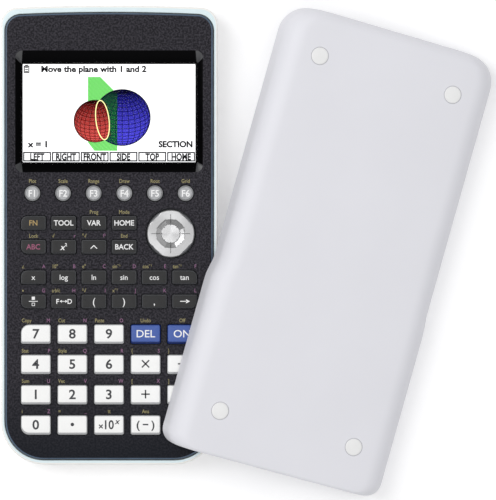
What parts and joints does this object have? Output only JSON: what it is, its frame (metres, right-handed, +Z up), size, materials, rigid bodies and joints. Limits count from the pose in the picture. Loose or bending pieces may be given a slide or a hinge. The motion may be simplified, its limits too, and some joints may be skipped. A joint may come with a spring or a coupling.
{
  "type": "graphing calculator",
  "caption": "Handheld graphing calculator with a colour display, round function keys, a cursor disc and a full keypad, its slide-on hard cover lying tilted against the face.",
  "frame": {"origin": "middle of the flat back of the rear case, which lies on the table", "axes": "+X across the keys to the right, +Y along the length towards the display end, +Z up out of the keys"},
  "size_m": [0.2023, 0.2021, 0.0321],
  "materials": {
    "pale_case": "satin off-white moulded plastic",
    "dark_face": "fine-grained blue-black plastic",
    "white_key": "satin white key plastic",
    "blue_key": "satin blue key plastic",
    "dark_key": "glossy black key plastic",
    "silver_key": "silver plated plastic",
    "cover": "matt pale grey moulded plastic",
    "display_glass": "clear scratch-resistant window",
    "lcd_module": "colour liquid crystal panel in its frame",
    "keypad_rubber": "silicone keypad sheet",
    "circuit_board": "green solder mask",
    "battery": "sleeved dry cell"
  },
  "bodies": {
    "calculator": {"rear_case": "pale_case", "front_case": "dark_face", "display_window": "display_glass", "lcd_module": "lcd_module", "keypad_sheet": "keypad_rubber", "circuit_board": "circuit_board", "battery_1": "battery", "battery_2": "battery", "battery_3": "battery", "battery_4": "battery"},
    "key_f1": {"key_f1": "silver_key"},
    "key_f2": {"key_f2": "silver_key"},
    "key_f3": {"key_f3": "silver_key"},
    "key_f4": {"key_f4": "silver_key"},
    "key_f5": {"key_f5": "silver_key"},
    "key_f6": {"key_f6": "silver_key"},
    "key_shift": {"key_shift": "dark_key"},
    "key_options": {"key_options": "dark_key"},
    "key_variables": {"key_variables": "dark_key"},
    "key_menu": {"key_menu": "dark_key"},
    "key_alpha": {"key_alpha": "dark_key"},
    "key_square": {"key_square": "dark_key"},
    "key_power": {"key_power": "dark_key"},
    "key_exit": {"key_exit": "dark_key"},
    "key_variable_x": {"key_variable_x": "dark_key"},
    "key_log": {"key_log": "dark_key"},
    "key_ln": {"key_ln": "dark_key"},
    "key_sin": {"key_sin": "dark_key"},
    "key_cos": {"key_cos": "dark_key"},
    "key_tan": {"key_tan": "dark_key"},
    "key_fraction": {"key_fraction": "dark_key"},
    "key_convert": {"key_convert": "dark_key"},
    "key_paren_open": {"key_paren_open": "dark_key"},
    "key_paren_close": {"key_paren_close": "dark_key"},
    "key_comma": {"key_comma": "dark_key"},
    "key_store": {"key_store": "dark_key"},
    "key_7": {"key_7": "white_key"},
    "key_8": {"key_8": "white_key"},
    "key_9": {"key_9": "white_key"},
    "key_delete": {"key_delete": "blue_key"},
    "key_on": {"key_on": "blue_key"},
    "key_4": {"key_4": "white_key"},
    "key_5": {"key_5": "white_key"},
    "key_6": {"key_6": "white_key"},
    "key_times": {"key_times": "white_key"},
    "key_divide": {"key_divide": "white_key"},
    "key_1": {"key_1": "white_key"},
    "key_2": {"key_2": "white_key"},
    "key_3": {"key_3": "white_key"},
    "key_plus": {"key_plus": "white_key"},
    "key_minus": {"key_minus": "white_key"},
    "key_0": {"key_0": "white_key"},
    "key_point": {"key_point": "white_key"},
    "key_exponent": {"key_exponent": "white_key"},
    "key_negative": {"key_negative": "white_key"},
    "key_enter": {"key_enter": "white_key"},
    "cursor_rocker": {"cursor_pivot": "dark_key"},
    "cursor_pad": {"cursor_pad": "silver_key"},
    "battery_cover": {"battery_cover": "pale_case"},
    "slide_cover": {"slide_cover": "cover"}
  },
  "joints": [
    {"name": "cursor_tip_up_down", "type": "hinge", "parent": "calculator", "child": "cursor_rocker", "pos_m": [0.0253, 0.0006, 0.0145], "axis": [1, 0, 0], "range_deg": [-2, 2], "stiffness_Nm_per_rad": 0.15},
    {"name": "cursor_tip_left_right", "type": "hinge", "parent": "cursor_rocker", "child": "cursor_pad", "pos_m": [0.0253, 0.0006, 0.0145], "axis": [0, 1, 0], "range_deg": [-2, 2], "stiffness_Nm_per_rad": 0.15},
    {"name": "battery_cover_swing", "type": "hinge", "parent": "calculator", "child": "battery_cover", "pos_m": [-0.011, 0.0223, 0], "axis": [1, 0, 0], "range_deg": [-80, 0]},
    {"name": "slide_cover_lift", "type": "slide", "parent": "calculator", "child": "slide_cover", "axis": [0, 0, 1], "range_m": [0, 0.08]},
    {"name": "key_f1_press", "type": "slide", "parent": "calculator", "child": "key_f1", "axis": [0, 0, 1], "range_m": [-0.0012, 0], "stiffness_N_per_m": 600, "springref_m": 0.0003},
    {"name": "key_f2_press", "type": "slide", "parent": "calculator", "child": "key_f2", "axis": [0, 0, 1], "range_m": [-0.0012, 0], "stiffness_N_per_m": 600, "springref_m": 0.0003},
    {"name": "key_f3_press", "type": "slide", "parent": "calculator", "child": "key_f3", "axis": [0, 0, 1], "range_m": [-0.0012, 0], "stiffness_N_per_m": 600, "springref_m": 0.0003},
    {"name": "key_f4_press", "type": "slide", "parent": "calculator", "child": "key_f4", "axis": [0, 0, 1], "range_m": [-0.0012, 0], "stiffness_N_per_m": 600, "springref_m": 0.0003},
    {"name": "key_f5_press", "type": "slide", "parent": "calculator", "child": "key_f5", "axis": [0, 0, 1], "range_m": [-0.0012, 0], "stiffness_N_per_m": 600, "springref_m": 0.0003},
    {"name": "key_f6_press", "type": "slide", "parent": "calculator", "child": "key_f6", "axis": [0, 0, 1], "range_m": [-0.0012, 0], "stiffness_N_per_m": 600, "springref_m": 0.0003},
    {"name": "key_shift_press", "type": "slide", "parent": "calculator", "child": "key_shift", "axis": [0, 0, 1], "range_m": [-0.0012, 0], "stiffness_N_per_m": 600, "springref_m": 0.0003},
    {"name": "key_options_press", "type": "slide", "parent": "calculator", "child": "key_options", "axis": [0, 0, 1], "range_m": [-0.0012, 0], "stiffness_N_per_m": 600, "springref_m": 0.0003},
    {"name": "key_variables_press", "type": "slide", "parent": "calculator", "child": "key_variables", "axis": [0, 0, 1], "range_m": [-0.0012, 0], "stiffness_N_per_m": 600, "springref_m": 0.0003},
    {"name": "key_menu_press", "type": "slide", "parent": "calculator", "child": "key_menu", "axis": [0, 0, 1], "range_m": [-0.0012, 0], "stiffness_N_per_m": 600, "springref_m": 0.0003},
    {"name": "key_alpha_press", "type": "slide", "parent": "calculator", "child": "key_alpha", "axis": [0, 0, 1], "range_m": [-0.0012, 0], "stiffness_N_per_m": 600, "springref_m": 0.0003},
    {"name": "key_square_press", "type": "slide", "parent": "calculator", "child": "key_square", "axis": [0, 0, 1], "range_m": [-0.0012, 0], "stiffness_N_per_m": 600, "springref_m": 0.0003},
    {"name": "key_power_press", "type": "slide", "parent": "calculator", "child": "key_power", "axis": [0, 0, 1], "range_m": [-0.0012, 0], "stiffness_N_per_m": 600, "springref_m": 0.0003},
    {"name": "key_exit_press", "type": "slide", "parent": "calculator", "child": "key_exit", "axis": [0, 0, 1], "range_m": [-0.0012, 0], "stiffness_N_per_m": 600, "springref_m": 0.0003},
    {"name": "key_variable_x_press", "type": "slide", "parent": "calculator", "child": "key_variable_x", "axis": [0, 0, 1], "range_m": [-0.0012, 0], "stiffness_N_per_m": 600, "springref_m": 0.0003},
    {"name": "key_log_press", "type": "slide", "parent": "calculator", "child": "key_log", "axis": [0, 0, 1], "range_m": [-0.0012, 0], "stiffness_N_per_m": 600, "springref_m": 0.0003},
    {"name": "key_ln_press", "type": "slide", "parent": "calculator", "child": "key_ln", "axis": [0, 0, 1], "range_m": [-0.0012, 0], "stiffness_N_per_m": 600, "springref_m": 0.0003},
    {"name": "key_sin_press", "type": "slide", "parent": "calculator", "child": "key_sin", "axis": [0, 0, 1], "range_m": [-0.0012, 0], "stiffness_N_per_m": 600, "springref_m": 0.0003},
    {"name": "key_cos_press", "type": "slide", "parent": "calculator", "child": "key_cos", "axis": [0, 0, 1], "range_m": [-0.0012, 0], "stiffness_N_per_m": 600, "springref_m": 0.0003},
    {"name": "key_tan_press", "type": "slide", "parent": "calculator", "child": "key_tan", "axis": [0, 0, 1], "range_m": [-0.0012, 0], "stiffness_N_per_m": 600, "springref_m": 0.0003},
    {"name": "key_fraction_press", "type": "slide", "parent": "calculator", "child": "key_fraction", "axis": [0, 0, 1], "range_m": [-0.0012, 0], "stiffness_N_per_m": 600, "springref_m": 0.0003},
    {"name": "key_convert_press", "type": "slide", "parent": "calculator", "child": "key_convert", "axis": [0, 0, 1], "range_m": [-0.0012, 0], "stiffness_N_per_m": 600, "springref_m": 0.0003},
    {"name": "key_paren_open_press", "type": "slide", "parent": "calculator", "child": "key_paren_open", "axis": [0, 0, 1], "range_m": [-0.0012, 0], "stiffness_N_per_m": 600, "springref_m": 0.0003},
    {"name": "key_paren_close_press", "type": "slide", "parent": "calculator", "child": "key_paren_close", "axis": [0, 0, 1], "range_m": [-0.0012, 0], "stiffness_N_per_m": 600, "springref_m": 0.0003},
    {"name": "key_comma_press", "type": "slide", "parent": "calculator", "child": "key_comma", "axis": [0, 0, 1], "range_m": [-0.0012, 0], "stiffness_N_per_m": 600, "springref_m": 0.0003},
    {"name": "key_store_press", "type": "slide", "parent": "calculator", "child": "key_store", "axis": [0, 0, 1], "range_m": [-0.0012, 0], "stiffness_N_per_m": 600, "springref_m": 0.0003},
    {"name": "key_7_press", "type": "slide", "parent": "calculator", "child": "key_7", "axis": [0, 0, 1], "range_m": [-0.0012, 0], "stiffness_N_per_m": 600, "springref_m": 0.0003},
    {"name": "key_8_press", "type": "slide", "parent": "calculator", "child": "key_8", "axis": [0, 0, 1], "range_m": [-0.0012, 0], "stiffness_N_per_m": 600, "springref_m": 0.0003},
    {"name": "key_9_press", "type": "slide", "parent": "calculator", "child": "key_9", "axis": [0, 0, 1], "range_m": [-0.0012, 0], "stiffness_N_per_m": 600, "springref_m": 0.0003},
    {"name": "key_delete_press", "type": "slide", "parent": "calculator", "child": "key_delete", "axis": [0, 0, 1], "range_m": [-0.0012, 0], "stiffness_N_per_m": 600, "springref_m": 0.0003},
    {"name": "key_on_press", "type": "slide", "parent": "calculator", "child": "key_on", "axis": [0, 0, 1], "range_m": [-0.0012, 0], "stiffness_N_per_m": 600, "springref_m": 0.0003},
    {"name": "key_4_press", "type": "slide", "parent": "calculator", "child": "key_4", "axis": [0, 0, 1], "range_m": [-0.0012, 0], "stiffness_N_per_m": 600, "springref_m": 0.0003},
    {"name": "key_5_press", "type": "slide", "parent": "calculator", "child": "key_5", "axis": [0, 0, 1], "range_m": [-0.0012, 0], "stiffness_N_per_m": 600, "springref_m": 0.0003},
    {"name": "key_6_press", "type": "slide", "parent": "calculator", "child": "key_6", "axis": [0, 0, 1], "range_m": [-0.0012, 0], "stiffness_N_per_m": 600, "springref_m": 0.0003},
    {"name": "key_times_press", "type": "slide", "parent": "calculator", "child": "key_times", "axis": [0, 0, 1], "range_m": [-0.0012, 0], "stiffness_N_per_m": 600, "springref_m": 0.0003},
    {"name": "key_divide_press", "type": "slide", "parent": "calculator", "child": "key_divide", "axis": [0, 0, 1], "range_m": [-0.0012, 0], "stiffness_N_per_m": 600, "springref_m": 0.0003},
    {"name": "key_1_press", "type": "slide", "parent": "calculator", "child": "key_1", "axis": [0, 0, 1], "range_m": [-0.0012, 0], "stiffness_N_per_m": 600, "springref_m": 0.0003},
    {"name": "key_2_press", "type": "slide", "parent": "calculator", "child": "key_2", "axis": [0, 0, 1], "range_m": [-0.0012, 0], "stiffness_N_per_m": 600, "springref_m": 0.0003},
    {"name": "key_3_press", "type": "slide", "parent": "calculator", "child": "key_3", "axis": [0, 0, 1], "range_m": [-0.0012, 0], "stiffness_N_per_m": 600, "springref_m": 0.0003},
    {"name": "key_plus_press", "type": "slide", "parent": "calculator", "child": "key_plus", "axis": [0, 0, 1], "range_m": [-0.0012, 0], "stiffness_N_per_m": 600, "springref_m": 0.0003},
    {"name": "key_minus_press", "type": "slide", "parent": "calculator", "child": "key_minus", "axis": [0, 0, 1], "range_m": [-0.0012, 0], "stiffness_N_per_m": 600, "springref_m": 0.0003},
    {"name": "key_0_press", "type": "slide", "parent": "calculator", "child": "key_0", "axis": [0, 0, 1], "range_m": [-0.0012, 0], "stiffness_N_per_m": 600, "springref_m": 0.0003},
    {"name": "key_point_press", "type": "slide", "parent": "calculator", "child": "key_point", "axis": [0, 0, 1], "range_m": [-0.0012, 0], "stiffness_N_per_m": 600, "springref_m": 0.0003},
    {"name": "key_exponent_press", "type": "slide", "parent": "calculator", "child": "key_exponent", "axis": [0, 0, 1], "range_m": [-0.0012, 0], "stiffness_N_per_m": 600, "springref_m": 0.0003},
    {"name": "key_negative_press", "type": "slide", "parent": "calculator", "child": "key_negative", "axis": [0, 0, 1], "range_m": [-0.0012, 0], "stiffness_N_per_m": 600, "springref_m": 0.0003},
    {"name": "key_enter_press", "type": "slide", "parent": "calculator", "child": "key_enter", "axis": [0, 0, 1], "range_m": [-0.0012, 0], "stiffness_N_per_m": 600, "springref_m": 0.0003}
  ]
}
